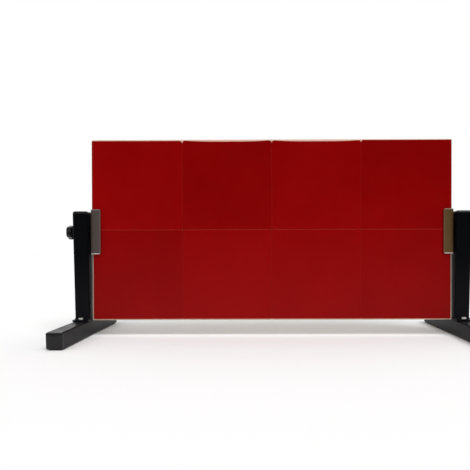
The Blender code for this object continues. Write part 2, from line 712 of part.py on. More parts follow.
def build_stretcher(paint, bolt_material):
    """The open channel across the backs of the uprights, with two bolts into each."""
    outline = channel_outline(STRETCHER_HEIGHT, STRETCHER_FLANGE, STRETCHER_THICKNESS, STRETCHER_BEND)
    bm = extruded(outline, 2 * UPRIGHT_OUTER)
    front = UPRIGHT_DEPTH / 2 + SEAT_GAP
    back_hole = STRETCHER_BOLT_RADIUS + HOLE_GAP
    # The section's web faces -Y and its flanges point back, so it is turned onto the X axis
    stretcher = place(
        "rear_stretcher",
        finish_mesh(bm, "rear_stretcher"),
        paint,
        (0, front, PIVOT_HEIGHT),
        (math.pi / 2, math.pi, math.pi / 2),
    )
    bolt = bolt_mesh(
        "stretcher_bolt",
        STRETCHER_BOLT_RADIUS,
        STRETCHER_BOLT_HEAD_WIDTH,
        STRETCHER_BOLT_HEAD_HEIGHT,
        SEAT_GAP + STRETCHER_THICKNESS + SEAT_GAP + TUBE_WALL + STRETCHER_BOLT_GRIP,
    )
    for side, sign in SIDES:
        for level, up in (("upper", 1), ("lower", -1)):
            x = sign * UPRIGHT_MIDDLE
            z = PIVOT_HEIGHT + up * STRETCHER_BOLT_SPREAD / 2
            cutter = drill(back_hole, 3 * STRETCHER_THICKNESS, f"{side}_{level}_web_drill", BOLT_SIDES)
            hole_place = (x, front + STRETCHER_THICKNESS / 2, z)
            cut(stretcher, cutter, f"{side}_{level}_stretcher_hole", hole_place, (math.pi / 2, 0, 0))
            bolt_place = (x, front + STRETCHER_THICKNESS + SEAT_GAP, z)
            place(
                f"{side}_{level}_stretcher_bolt",
                bolt,
                bolt_material,
                bolt_place,
                (-math.pi / 2, 0, 0),
            )


def main():
    """Build the whole rebound board, leaning back by REST_LEAN."""
    clear_scene()
    red_rubber = make_material("red_rubber", (0.230, 0.002, 0.003), 0.28)
    sponge = make_material("sponge", (0.62, 0.42, 0.26), 0.90)
    panel_wood = make_material("panel_wood", (0.55, 0.42, 0.30), 0.60)
    clamp_plate = make_material("clamp_plate", (0.075, 0.055, 0.045), 0.45, 0.6)
    black_rubber = make_material("black_rubber", (0.012, 0.012, 0.013), 0.80)
    black_paint = make_material("black_paint", (0.006, 0.006, 0.008), 0.35)
    black_plastic = make_material("black_plastic", (0.010, 0.010, 0.011), 0.45)
    zinc_steel = make_material("zinc_steel", (0.55, 0.56, 0.57), 0.30, 1.0)

    board_pivot = bpy.data.objects.new("board_pivot", None)
    bpy.context.scene.collection.objects.link(board_pivot)
    board_pivot.location = (0, 0, PIVOT_HEIGHT)
    board_pivot.rotation_euler = (-REST_LEAN, 0, 0)

    build_panel(board_pivot, panel_wood)
    build_rubber(board_pivot, red_rubber, sponge)
    knob_shape = knob_mesh()
    upright_cap = plug_mesh("upright_cap", UPRIGHT_WIDTH, UPRIGHT_DEPTH)
    foot_cap = plug_mesh("foot_cap", FOOT_SIDE, FOOT_SIDE)
    for side, sign in SIDES:
        build_clamp(side, sign, board_pivot, clamp_plate, black_rubber, zinc_steel)
        build_pivot(side, sign, board_pivot, zinc_steel, black_plastic, knob_shape)
        build_upright(side, sign, black_paint, black_plastic, upright_cap)
        build_foot(side, sign, black_paint, black_plastic, black_rubber, zinc_steel, foot_cap)
    build_stretcher(black_paint, zinc_steel)


main()
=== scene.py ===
# %% [markdown]
# # Table tennis rebound board
#
# A rebound board sends each shot straight back, so that strokes can be practised alone. This lesson
# dresses its construction model for a picture: eight red rubber sheets on a pale wooden panel, two
# bronze-grey clamps, and two black tube stands with lobed knobs. The model already holds each size
# and joint, so it isn't drawn again but loaded as a frame that stays where it is. The lesson gives
# each surface its finish and adds fine forms, such as weld beads, chamfered bolt heads and moulded
# knobs.

# %% Load the frame
import json
import math

import bmesh
import bpy
from mathutils import Matrix, Vector
from mathutils.geometry import interpolate_bezier

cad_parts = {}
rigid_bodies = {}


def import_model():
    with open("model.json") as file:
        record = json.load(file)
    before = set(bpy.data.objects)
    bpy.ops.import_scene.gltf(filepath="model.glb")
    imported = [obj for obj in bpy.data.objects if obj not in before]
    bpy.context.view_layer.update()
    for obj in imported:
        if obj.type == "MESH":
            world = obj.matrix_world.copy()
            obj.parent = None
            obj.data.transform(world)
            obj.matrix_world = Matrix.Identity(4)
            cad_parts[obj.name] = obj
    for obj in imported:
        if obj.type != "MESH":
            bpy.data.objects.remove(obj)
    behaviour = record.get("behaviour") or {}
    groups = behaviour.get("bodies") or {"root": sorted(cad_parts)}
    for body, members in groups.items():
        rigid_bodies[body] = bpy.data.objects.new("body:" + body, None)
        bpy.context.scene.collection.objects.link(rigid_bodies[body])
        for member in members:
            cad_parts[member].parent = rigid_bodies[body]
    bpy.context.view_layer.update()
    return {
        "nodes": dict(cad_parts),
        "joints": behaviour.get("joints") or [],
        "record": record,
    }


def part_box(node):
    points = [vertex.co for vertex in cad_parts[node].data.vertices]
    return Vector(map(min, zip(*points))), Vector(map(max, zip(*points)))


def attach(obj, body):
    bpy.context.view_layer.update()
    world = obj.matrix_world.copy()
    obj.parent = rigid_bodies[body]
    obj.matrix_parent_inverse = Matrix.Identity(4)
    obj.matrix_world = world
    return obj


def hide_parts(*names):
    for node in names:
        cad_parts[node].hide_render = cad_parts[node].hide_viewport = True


for leftover in list(bpy.data.objects):
    bpy.data.objects.remove(leftover, do_unlink=True)

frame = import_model()
nodes = frame["nodes"]
joints = {joint["name"]: joint for joint in frame["joints"]}
print("pieces in the frame:", len(nodes))

# %% [markdown]
# ## The board's own axes
#
# The board leans back a little, so its thickness doesn't run along a world axis. What belongs to
# the board is laid out upright and then turned about the pivot by the lean. The lean could be a
# written number, but measuring it keeps it in step with the frame: the slope from the panel's
# lowest to its highest corner gives the angle.

# %% Measure the pivot and the lean
pivot = Vector(joints["board_tilt"]["pos_m"])
panel_points = [vertex.co for vertex in nodes["backing_panel"].data.vertices]
rear_bottom = min(panel_points, key=lambda point: point.z - point.y)
rear_top = max(panel_points, key=lambda point: point.z + point.y)
lean = math.atan2(rear_top.y - rear_bottom.y, rear_top.z - rear_bottom.z)
turn_board = Matrix.Translation(pivot) @ Matrix.Rotation(-lean, 4, "X")
turn_back = turn_board.inverted()
print("pivot:", [round(value, 4) for value in pivot])
print("lean in degrees:", round(math.degrees(lean), 2))


# %% Measure the rubber field
def board_box(node_name):
    """(lowest corner, highest corner) of a frame piece in the board's own axes, from the pivot."""
    points = [turn_back @ vertex.co for vertex in nodes[node_name].data.vertices]
    columns = list(zip(*points))
    return Vector(map(min, columns)), Vector(map(max, columns))


SIDES = ("left", "right")
SHEET_COLUMNS = 4
field_low = board_box("top_sheet_lower_1")[0]
field_high = board_box("top_sheet_upper_4")[1]
tile_side = (field_high.x - field_low.x) / SHEET_COLUMNS
field_rise = (field_high.z + field_low.z) / 2
print("sheet side:", round(tile_side, 4), "field's rise over the pivot:", round(field_rise, 4))

# %% [markdown]
# ## Camera
#
# The camera stands a little lower than the pivot, 1.7 metres in front of the board. It looks
# slightly down, which makes upright edges draw together towards the bottom. The picture is cut from
# the upper part of what the lens sees. Turning the camera up instead would change how the edges
# draw together, so its shift makes that cut.

# %% Place the camera
FRAME_PIXELS = 470
CAMERA_PLACE = (-0.0340, -1.6743, 0.2618)
CAMERA_PITCH = 0.0750
CAMERA_YAW = 0.0052
CAMERA_ROLL = 0.0025
FOCAL_PIXELS = 547.5
PRINCIPAL_POINT = (257.8, 290.3)
CAMERA_REACH = 100.0


def new_object(name, data):
    """An object that shows in the scene."""
    made = bpy.data.objects.new(name, data)
    bpy.context.scene.collection.objects.link(made)
    return made


lens = bpy.data.cameras.new("camera")
lens.lens = FOCAL_PIXELS / FRAME_PIXELS * lens.sensor_width
lens.shift_x = (FRAME_PIXELS / 2 - PRINCIPAL_POINT[0]) / FRAME_PIXELS
lens.shift_y = (PRINCIPAL_POINT[1] - FRAME_PIXELS / 2) / FRAME_PIXELS
lens.clip_end = CAMERA_REACH
camera = new_object("camera", lens)
camera.matrix_world = (
    Matrix.Translation(CAMERA_PLACE)
    @ Matrix.Rotation(CAMERA_YAW, 4, "Z")
    @ Matrix.Rotation(math.pi / 2 - CAMERA_PITCH, 4, "X")
    @ Matrix.Rotation(-CAMERA_ROLL, 4, "Z")
)
bpy.context.scene.camera = camera
print("lens in millimetres:", round(lens.lens, 2), "shift:", lens.shift_x, lens.shift_y)

# %% [markdown]
# ## Helpers for materials
#
# A material is a small network of nodes. Wired by hand, each node takes several lines, so a few
# helpers keep every finish short. One makes any node: a socket given to it is wired, and a number
# or colour is set. All patterns read Object coordinates, which are metres here, because every piece
# has its place in its mesh.


# %% Define the helpers that make nodes
def add_node(tree, kind, inputs=None, **settings):
    """Make a node. Inputs are numbers or colours to set, or another node's socket to wire in."""
    node = tree.nodes.new(kind)
    for name, value in settings.items():
        setattr(node, name, value)
    for name, value in (inputs or {}).items():
        if isinstance(value, bpy.types.NodeSocket):
            tree.links.new(value, node.inputs[name])
        else:
            node.inputs[name].default_value = value
    return node


def start_material(name, colour, roughness=0.5, metallic=0.0, specular=0.5):
    """A material with its Principled shader set, and the Object coordinates ready to use."""
    material = bpy.data.materials.new(name)
    material.use_nodes = True
    tree = material.node_tree
    shader = tree.nodes["Principled BSDF"]
    shader.inputs["Base Color"].default_value = (*colour, 1.0)
    shader.inputs["Roughness"].default_value = roughness
    shader.inputs["Metallic"].default_value = metallic
    shader.inputs["Specular IOR Level"].default_value = specular
    material.diffuse_color = (*colour, 1.0)
    place = add_node(tree, "ShaderNodeTexCoord").outputs["Object"]
    return material, tree, shader, place


def arithmetic(tree, operation, first, second=0.0, **settings):
    """One Math node."""
    inputs = {0: first, 1: second}
    return add_node(tree, "ShaderNodeMath", inputs, operation=operation, **settings).outputs[0]


def vector_arithmetic(tree, operation, first, second=(0.0, 0.0, 0.0)):
    """One Vector Math node."""
    inputs = {0: first, 1: second}
    return add_node(tree, "ShaderNodeVectorMath", inputs, operation=operation).outputs[0]


def axes(tree, vector):
    """The X, Y and Z of a vector."""
    return add_node(tree, "ShaderNodeSeparateXYZ", {0: vector}).outputs


print("node helpers ready")


# %% Define the helpers that make patterns
def noise(tree, place, scale, detail=3.0, roughness=0.5):
    """Soft noise, with its scale in features a metre."""
    inputs = {"Vector": place, "Scale": scale, "Detail": detail, "Roughness": roughness}
    return add_node(tree, "ShaderNodeTexNoise", inputs).outputs["Fac"]


def spread(tree, value, low, high, start=0.3, end=0.7):
    """Stretch a value that mostly lies between start and end to run from low to high."""
    inputs = {"Value": value, "From Min": start, "From Max": end, "To Min": low, "To Max": high}
    return add_node(tree, "ShaderNodeMapRange", inputs).outputs["Result"]


def blend_colours(tree, share, first, second):
    """Mix two colours by a share. Either may be another node's socket."""
    inputs = {0: share, 6: first, 7: second}
    for index in (6, 7):
        if not isinstance(inputs[index], bpy.types.NodeSocket):
            inputs[index] = (*inputs[index], 1.0)
    return add_node(tree, "ShaderNodeMix", inputs, data_type="RGBA").outputs[2]


def raise_surface(tree, shader, height, depth, strength=1.0):
    """Turn a height from 0 to 1 into relief of the given depth in metres."""
    inputs = {"Height": height, "Distance": depth, "Strength": strength}
    bump = add_node(tree, "ShaderNodeBump", inputs)
    tree.links.new(bump.outputs["Normal"], shader.inputs["Normal"])


def board_coordinates(tree, place):
    """Coordinates turned back by the lean, from the pivot: x across, y through, z up the board."""
    inputs = {"Vector": place, "Location": -pivot}
    centred = add_node(tree, "ShaderNodeMapping", inputs).outputs["Vector"]
    inputs = {"Vector": centred, "Rotation": (lean, 0, 0)}
    return add_node(tree, "ShaderNodeMapping", inputs).outputs["Vector"]


def stretch(tree, place, scale):
    """Scale coordinates unevenly, which draws a pattern out along its short axes."""
    return add_node(tree, "ShaderNodeMapping", {"Vector": place, "Scale": scale}).outputs["Vector"]


print("pattern helpers ready")

# %% [markdown]
# ## Red rubber
#
# The top sheet is smooth rubber, deep red and slightly glossy. Neighbouring sheets are painted a
# little paler or darker, as painted light: each real sheet sits at its own slight tilt and catches
# the light differently, and the seams show. The upper row takes the paler tone in turn, and the
# lower row has the paler one in the middle. Each sheet could have its own material, but one that
# works out which sheet a point is on keeps the tones together. White noise adds a little of each
# sheet's own. The lower half is painted paler, as painted light and reflection from the floor
# below.
# Soft cloudiness, faint marks in the gloss and the faint relief of the pips under the sheet break
# up the rest, and a painted highlight makes the rims paler, the level ones more than the upright
# ones.

# %% Work out each sheet's painted tone and its painted rim highlight
RIM_HIGHLIGHT_WIDTH = 0.0009
UPRIGHT_RIM_HIGHLIGHT_SHARE = 0.3


def lit_sheet_pattern(tree, sheet):
    """1 for a sheet painted paler as painted light, else 0. Columns count from the middle, and rows
    are 0 and -1.
    """
    count = axes(tree, sheet)
    in_turn = arithmetic(tree, "FLOORED_MODULO", arithmetic(tree, "ADD", count["X"], 1.0), 2.0)
    from_middle = arithmetic(tree, "ABSOLUTE", arithmetic(tree, "ADD", count["X"], 0.5))
    in_middle = arithmetic(tree, "LESS_THAN", from_middle, 1.0)
    difference = arithmetic(tree, "SUBTRACT", in_turn, in_middle)
    change = arithmetic(tree, "MULTIPLY", count["Z"], difference)
    return arithmetic(tree, "ADD", in_turn, change)


def rim_highlight_of_sheet(tree, inside):
    """Painted rim highlight: 1 on a sheet's level rims, less on its upright rims, from the place in
    it.
    """
    from_middle = vector_arithmetic(tree, "SUBTRACT", inside, (0.5, 0.5, 0.5))
    offset = axes(tree, vector_arithmetic(tree, "ABSOLUTE", from_middle))
    rim_start = 0.5 - RIM_HIGHLIGHT_WIDTH / tile_side
    level_rim = arithmetic(tree, "GREATER_THAN", offset["Z"], rim_start)
    upright_rim = arithmetic(tree, "GREATER_THAN", offset["X"], rim_start)
    upright_rim = arithmetic(tree, "MULTIPLY", upright_rim, UPRIGHT_RIM_HIGHLIGHT_SHARE)
    return arithmetic(tree, "MAXIMUM", level_rim, upright_rim)


print("rim's share of a sheet:", round(RIM_HIGHLIGHT_WIDTH / tile_side, 4))

# %% Make the red rubber
RUBBER_RED = (0.270, 0.0009, 0.0012)
RUBBER_RED_DEEP = (0.200, 0.0004, 0.0006)
RUBBER_SPECULAR = 0.08
RUBBER_ROUGHNESS = (0.14, 0.20)
SHEET_LIGHT_SHARE = 0.24
SHEET_SHARE = 0.12
LOWER_LIGHT_ZONE = (-0.22, 0.22)
LOWER_LIGHT_SHARE = 0.5
TONE_SPAN = (0.45, 1.35)
RIM_HIGHLIGHT_RED = (0.31, 0.018, 0.014)
PIP_PITCH = 0.0019
PIP_UNEVENNESS = 0.15
PIP_RELIEF = 0.00003


def make_red_rubber():
    """Smooth red sandwich rubber."""
    material, tree, shader, place = start_material(
        "red_rubber_sheet", RUBBER_RED, specular=RUBBER_SPECULAR
    )
    board = board_coordinates(tree, place)
    inputs = {"Vector": board, "Location": (0, 0, -field_rise)}
    field = add_node(tree, "ShaderNodeMapping", inputs).outputs["Vector"]
    sheets = vector_arithmetic(tree, "MULTIPLY", field, (1 / tile_side, 0.0, 1 / tile_side))
    sheet = vector_arithmetic(tree, "FLOOR", sheets)
    own = add_node(tree, "ShaderNodeTexWhiteNoise", {"Vector": sheet}).outputs["Value"]
    own_tone = arithmetic(tree, "MULTIPLY", own, SHEET_SHARE)
    # Painted light: a fixed pattern of paler sheets, for the light each slightly tilted sheet
    # catches.
    sheet_light_tone = arithmetic(tree, "MULTIPLY", lit_sheet_pattern(tree, sheet), SHEET_LIGHT_SHARE)
    tone = arithmetic(tree, "ADD", sheet_light_tone, own_tone)
    tone = arithmetic(tree, "ADD", tone, noise(tree, board, scale=5.0))
    # Painted light: the lower half is paler, for the floor's light and reflection below it.
    lower_light = spread(tree, axes(tree, field)["Z"], LOWER_LIGHT_SHARE, 0.0, *LOWER_LIGHT_ZONE)
    share = spread(tree, arithmetic(tree, "ADD", tone, lower_light), 0.0, 1.0, *TONE_SPAN)
    colour = blend_colours(tree, share, RUBBER_RED_DEEP, RUBBER_RED)
    # Painted highlight along the sheets' rims.
    rim = rim_highlight_of_sheet(tree, vector_arithmetic(tree, "FRACTION", sheets))
    colour = blend_colours(tree, rim, colour, RIM_HIGHLIGHT_RED)
    tree.links.new(colour, shader.inputs["Base Color"])
    marks = noise(tree, board, scale=28.0, detail=4.0, roughness=0.6)
    tree.links.new(spread(tree, marks, *RUBBER_ROUGHNESS), shader.inputs["Roughness"])
    inputs = {"Vector": board, "Scale": 1 / PIP_PITCH, "Randomness": PIP_UNEVENNESS}
    pips = add_node(tree, "ShaderNodeTexVoronoi", inputs).outputs["Distance"]
    raise_surface(tree, shader, pips, PIP_RELIEF, strength=0.5)
    return material


red_rubber_sheet = make_red_rubber()
print("made", red_rubber_sheet.name)

# %% [markdown]
# ## Sponge
#
# The sponge under the rubber only shows as a thin pale edge, full of small pores. They are too many
# and too small to model, so a fine cell pattern paints shade into them and sinks them a little.

# %% Make the sponge
SPONGE_CREAM = (0.78, 0.47, 0.39)
SPONGE_PORE_SHADE = (0.56, 0.31, 0.24)
SPONGE_ROUGHNESS = 0.92
PORES_A_METRE = 1800.0
PORE_DEPTH = 0.0002


def make_sponge():
    """Open-cell sponge, pale and matt."""
    material, tree, shader, place = start_material("cream_sponge", SPONGE_CREAM, SPONGE_ROUGHNESS)
    inputs = {"Vector": place, "Scale": PORES_A_METRE}
    pores = add_node(tree, "ShaderNodeTexVoronoi", inputs).outputs["Distance"]
    # Painted shade in the pores.
    share = spread(tree, pores, 0.0, 1.0, start=0.05, end=0.6)
    colour = blend_colours(tree, share, SPONGE_PORE_SHADE, SPONGE_CREAM)
    tree.links.new(colour, shader.inputs["Base Color"])
    raise_surface(tree, shader, pores, PORE_DEPTH, strength=0.6)
    return material


cream_sponge = make_sponge()
print("made", cream_sponge.name)

# %% [markdown]
# ## Birch panel
#
# The panel is lacquered birch plywood. Its faces have long soft grain, and its edges show the plies
# as bands. Two noises stretched along the board's width make the grain, and a wave across the
# thickness makes the plies. Faces and edges could be two materials, but the direction in which a
# surface faces tells them apart, so one is enough.

# %% Make the birch panel
BIRCH_PALE = (0.86, 0.69, 0.55)
BIRCH_DARK = (0.62, 0.46, 0.34)
BIRCH_ROUGHNESS = (0.42, 0.60)
BIRCH_RELIEF = 0.00012
GRAIN_STRETCH = (3.0, 1.0, 60.0)
FIBRE_STRETCH = (12.0, 40.0, 420.0)
PLY_PITCH = 0.0014
WAVE_PERIOD = math.tau / 20  # of a Wave Texture whose scale is 1


def make_birch_panel():
    """Lacquered birch plywood, with grain along its width and plies through its thickness."""
    material, tree, shader, place = start_material("birch_panel", BIRCH_PALE)
    board = board_coordinates(tree, place)
    long_grain = noise(tree, stretch(tree, board, GRAIN_STRETCH), 3.0, detail=6.0, roughness=0.62)
    fibres = noise(tree, stretch(tree, board, FIBRE_STRETCH), 4.0)
    long_share = spread(tree, long_grain, 0.0, 0.8)
    grain = arithmetic(tree, "ADD", long_share, spread(tree, fibres, 0.0, 0.25))
    inputs = {"Vector": board, "Scale": WAVE_PERIOD / PLY_PITCH, "Distortion": 0.15}
    plies = add_node(tree, "ShaderNodeTexWave", inputs, bands_direction="Y").outputs["Fac"]
    normal = add_node(tree, "ShaderNodeNewGeometry").outputs["Normal"]
    facing = arithmetic(tree, "ABSOLUTE", axes(tree, normal)["Y"])
    on_edge = arithmetic(tree, "LESS_THAN", facing, 0.6)
    bands = spread(tree, plies, 0.0, 0.7, start=0.2, end=0.8)
    banding = arithmetic(tree, "MULTIPLY", on_edge, bands)
    share = arithmetic(tree, "ADD", grain, banding, use_clamp=True)
    colour = blend_colours(tree, share, BIRCH_PALE, BIRCH_DARK)
    tree.links.new(colour, shader.inputs["Base Color"])
    tree.links.new(spread(tree, fibres, *BIRCH_ROUGHNESS), shader.inputs["Roughness"])
    raise_surface(tree, shader, fibres, BIRCH_RELIEF, strength=0.5)
    return material


birch_panel = make_birch_panel()
print("made", birch_panel.name)

# %% [markdown]
# ## Clamp coats
#
# The clamp plates are steel with a bronze-grey coat, a little streaked along their height, and the
# right one is painted browner, as a painted reflection. Their edges carry a painted highlight,
# where the small roundings catch the light, and most at the bottom, which the floor lights. Such a
# band is often found from a mesh's sharp edges, but here only the jaw's outline carries it, so it
# follows the distance from the jaw's four sides.

# %% Make the clamp coats
# The right coat is painted browner than the left as a painted reflection; the plates are alike.
CLAMP_COATS_WITH_PAINTED_REFLECTION = {
    "left": ((0.073, 0.055, 0.051), (0.090, 0.066, 0.055)),
    "right": ((0.098, 0.053, 0.013), (0.110, 0.056, 0.009)),
}
CLAMP_METALLIC = 0.35
CLAMP_ROUGHNESS = (0.34, 0.48)
CLAMP_RELIEF = 0.00002
STREAK_STRETCH = (700.0, 700.0, 9.0)
CLAMP_EDGE_HIGHLIGHT = (0.84, 0.72, 0.67)
EDGE_HIGHLIGHT_ZONE = (0.00096, 0.0032)
EDGE_HIGHLIGHT_SIDES = 0.06
EDGE_HIGHLIGHT_TOP = 0.25
EDGE_HIGHLIGHT_BOTTOM = 1.0
jaw_half_height = board_box("left_clamp_bracket")[1].z


def make_clamp_coat(side):
    """Bronze-grey stoved coat on plate, streaked, with a painted highlight along its edges."""
    plain, streaked = CLAMP_COATS_WITH_PAINTED_REFLECTION[side]
    material, tree, shader, place = start_material(
        side + "_bronze_coat", plain, metallic=CLAMP_METALLIC
    )
    streaks = noise(tree, stretch(tree, place, STREAK_STRETCH), 1.0, detail=4.0, roughness=0.55)
    patches = noise(tree, place, scale=18.0, detail=2.0)
    patch_share = spread(tree, patches, 0.3, 1.0)
    share = arithmetic(tree, "MULTIPLY", spread(tree, streaks, 0.2, 1.0), patch_share)
    colour = blend_colours(tree, share, plain, streaked)
    low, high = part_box(side + "_clamp_bracket")
    tip, bend = sorted((abs(low.x), abs(high.x)))
    split = axes(tree, board_coordinates(tree, place))
    across = arithmetic(tree, "ABSOLUTE", split["X"])
    edges = (
        (arithmetic(tree, "SUBTRACT", across, tip), EDGE_HIGHLIGHT_SIDES),
        (arithmetic(tree, "SUBTRACT", bend, across), EDGE_HIGHLIGHT_SIDES),
        (arithmetic(tree, "SUBTRACT", jaw_half_height, split["Z"]), EDGE_HIGHLIGHT_TOP),
        (arithmetic(tree, "ADD", jaw_half_height, split["Z"]), EDGE_HIGHLIGHT_BOTTOM),
    )
    # Painted highlight along the jaw's four edges, strongest at the bottom.
    rim = 0.0
    for distance, most in edges:
        rim = arithmetic(tree, "MAXIMUM", rim, spread(tree, distance, most, 0.0, *EDGE_HIGHLIGHT_ZONE))
    colour = blend_colours(tree, rim, colour, CLAMP_EDGE_HIGHLIGHT)
    tree.links.new(colour, shader.inputs["Base Color"])
    tree.links.new(spread(tree, streaks, *CLAMP_ROUGHNESS), shader.inputs["Roughness"])
    raise_surface(tree, shader, streaks, CLAMP_RELIEF, strength=0.4)
    return material


clamp_coats = {side: make_clamp_coat(side) for side in CLAMP_COATS_WITH_PAINTED_REFLECTION}
print("made", *(coat.name for coat in clamp_coats.values()))
print("jaw's half height:", round(jaw_half_height, 4))

# %% [markdown]
# ## Black powder coat
#
# The tubes are powder coated: black, with a gloss that mirrors pale things at a low angle and the
# faint orange peel of baked powder. A clear coat over matt black would also do, but one glossy
# layer with a low specular level is plainer and looks the same here. The paint is painted a little
# greyer towards the feet, as painted light from the floor below.

# %% Make the powder coat
PAINT_BLACK = (0.0010, 0.0012, 0.0018)
PAINT_SPECULAR = 0.045
PAINT_ROUGHNESS = (0.27, 0.37)
PEEL_DEPTH = 0.00004
PAINT_FLOOR_LIGHT = (0.0066, 0.0064, 0.0080)
FLOOR_LIGHT_HEIGHTS = (0.02, 0.24)


def make_powder_coat():
    """Black powder coat with orange peel."""
    material, tree, shader, place = start_material(
        "black_powder_coat", PAINT_BLACK, specular=PAINT_SPECULAR
    )
    # Painted light: greyer towards the feet, for the light the floor throws up.
    dust_and_floor_light = spread(tree, axes(tree, place)["Z"], 1.0, 0.0, *FLOOR_LIGHT_HEIGHTS)
    colour = blend_colours(tree, dust_and_floor_light, PAINT_BLACK, PAINT_FLOOR_LIGHT)
    tree.links.new(colour, shader.inputs["Base Color"])
    haze = noise(tree, place, scale=24.0, roughness=0.6)
    tree.links.new(spread(tree, haze, *PAINT_ROUGHNESS), shader.inputs["Roughness"])
    peel = noise(tree, place, scale=520.0, detail=2.0, roughness=0.4)
    raise_surface(tree, shader, peel, PEEL_DEPTH, strength=0.35)
    return material


black_powder_coat = make_powder_coat()
print("made", black_powder_coat.name)

# %% [markdown]
# ## Moulded nylon and pad rubber
#
# The knobs and plugs are moulded nylon, polished by hands and with a fine grain. The pads under the
# feet are matt rubber that picks up a little dust. Both are nearly black, so the gloss and not the
# colour tells them apart.

# %% Make the nylon and the pad rubber
NYLON_BLACK = (0.0060, 0.0060, 0.0066)
NYLON_SPECULAR = 0.3
NYLON_ROUGHNESS = (0.12, 0.16)
NYLON_GRAIN = 0.00003
PAD_BLACK = (0.012, 0.012, 0.013)
PAD_DUST = (0.040, 0.038, 0.035)
PAD_SPECULAR = 0.25
PAD_ROUGHNESS = 0.85
PAD_GRAIN = 0.00008


def make_moulded_nylon():
    """Black glass-filled nylon with a fine grain."""
    material, tree, shader, place = start_material(
        "black_moulded_nylon", NYLON_BLACK, specular=NYLON_SPECULAR
    )
    wear = noise(tree, place, scale=60.0, roughness=0.6)
    tree.links.new(spread(tree, wear, *NYLON_ROUGHNESS), shader.inputs["Roughness"])
    grain = noise(tree, place, scale=2600.0, detail=2.0)
    raise_surface(tree, shader, grain, NYLON_GRAIN, strength=0.5)
    return material


def make_pad_rubber():
    """Matt black rubber with a trace of dust."""
    material, tree, shader, place = start_material(
        "matt_black_rubber", PAD_BLACK, PAD_ROUGHNESS, specular=PAD_SPECULAR
    )
    film = noise(tree, place, scale=140.0, detail=5.0, roughness=0.65)
    dust_and_floor_light = spread(tree, film, 0.0, 1.0, start=0.45, end=0.8)
    tree.links.new(blend_colours(tree, dust_and_floor_light, PAD_BLACK, PAD_DUST), shader.inputs["Base Color"])
    raise_surface(tree, shader, noise(tree, place, scale=900.0), PAD_GRAIN, strength=0.5)
    return material


black_moulded_nylon = make_moulded_nylon()
matt_black_rubber = make_pad_rubber()
print("made", black_moulded_nylon.name, matt_black_rubber.name)

# %% [markdown]
# ## Zinc-plated steel
#
# The bolts, washers and studs are zinc plated: bright, with faint turning marks and a thin bluish
# and yellowish cast. The cast could be a thin film on the shader, but two tints with a noise
# between them are easier to steer.

# %% Make the zinc
ZINC_COOL = (0.56, 0.58, 0.60)
ZINC_WARM = (0.62, 0.59, 0.50)
ZINC_ROUGHNESS = (0.22, 0.40)
ZINC_RELIEF = 0.00002


def make_zinc():
    """Zinc-plated steel with a passivated cast."""
    material, tree, shader, place = start_material("zinc_plated_steel", ZINC_COOL, metallic=1.0)
    cast = spread(tree, noise(tree, place, scale=130.0, roughness=0.6), 0.0, 1.0)
    tree.links.new(blend_colours(tree, cast, ZINC_COOL, ZINC_WARM), shader.inputs["Base Color"])
    marks = noise(tree, place, scale=1500.0, detail=4.0, roughness=0.6)
    tree.links.new(spread(tree, marks, *ZINC_ROUGHNESS), shader.inputs["Roughness"])
    raise_surface(tree, shader, marks, ZINC_RELIEF, strength=0.5)
    return material


zinc_plated_steel = make_zinc()
print("made", zinc_plated_steel.name)

# %% [markdown]
# ## Dress the frame's own pieces
#
# The record names a finish for each piece, so a table from those names to the materials dresses
# them all, and the clamps take the coat of their side. Real edges are never perfectly sharp, and
# their small roundings catch the light. The frame's meshes are loose triangles with sharp corners
# and may not be changed, so live modifiers join the triangles, take out the inner edges of flat
# faces and round what is left.

# %% Assign the finishes and soften the edges
FINISHES = {
    "red_rubber": red_rubber_sheet,
    "sponge": cream_sponge,
    "panel_wood": birch_panel,
    "black_rubber": matt_black_rubber,
    "black_paint": black_powder_coat,
    "black_plastic": black_moulded_nylon,
    "zinc_steel": zinc_plated_steel,
}
EDGE_RADIUS = {
    "clamp_plate": 0.0006,
    "black_rubber": 0.0004,
    "black_paint": 0.0005,
    "zinc_steel": 0.0002,
}
JOIN_DISTANCE = 0.00001
FLAT_ANGLE = math.radians(0.5)
SHARP_ANGLE = math.radians(30.0)
ROUNDING_SEGMENTS = 3


def round_edges(piece, edge_radius):
    """Round a frame piece's sharp edges with live modifiers."""
    weld = piece.modifiers.new("join_triangles", "WELD")
    weld.merge_threshold = JOIN_DISTANCE
    flatten = piece.modifiers.new("flatten", "DECIMATE")
    flatten.decimate_type = "DISSOLVE"
    flatten.angle_limit = FLAT_ANGLE
    rounding = piece.modifiers.new("round_edges", "BEVEL")
    rounding.width = edge_radius
    rounding.segments = ROUNDING_SEGMENTS
    rounding.limit_method = "ANGLE"
    rounding.angle_limit = SHARP_ANGLE
    rounding.harden_normals = True


subparts = frame["record"]["subparts"]
for row in subparts:
    piece, slot_name = nodes[row["node"]], row["material_slot"]
    side = row["node"].split("_")[0]
    piece.data.materials.clear()
    piece.data.materials.append(
        clamp_coats[side] if slot_name == "clamp_plate" else FINISHES[slot_name]
    )
    if slot_name in EDGE_RADIUS:
        round_edges(piece, EDGE_RADIUS[slot_name])
print("dressed", len(subparts), "pieces")

# %% [markdown]
# ## Shapes drawn by growing a loop
#
# A turned piece could be spun from its profile, but a spin only makes round pieces. Here a closed
# loop of edges is extruded again and again instead, and each time its new points are set by a rule
# that knows their direction from the middle. One rule gives a circle, another a hexagon, another
# the knob's lobes, so one helper makes them all. A piece is drawn along +Z at the origin. A matrix
# then carries its mesh to its place, and its edges are marked sharp or smooth by their angle.


# %% Define the loop helpers
def polar(reach, angle, height):
    """A point at a distance and a direction from the middle, and a height."""
    return Vector((reach * math.cos(angle), reach * math.sin(angle), height))


def circle_rule(radius, height):
    """Points on a circle."""
    return lambda angle: polar(radius, angle, height)


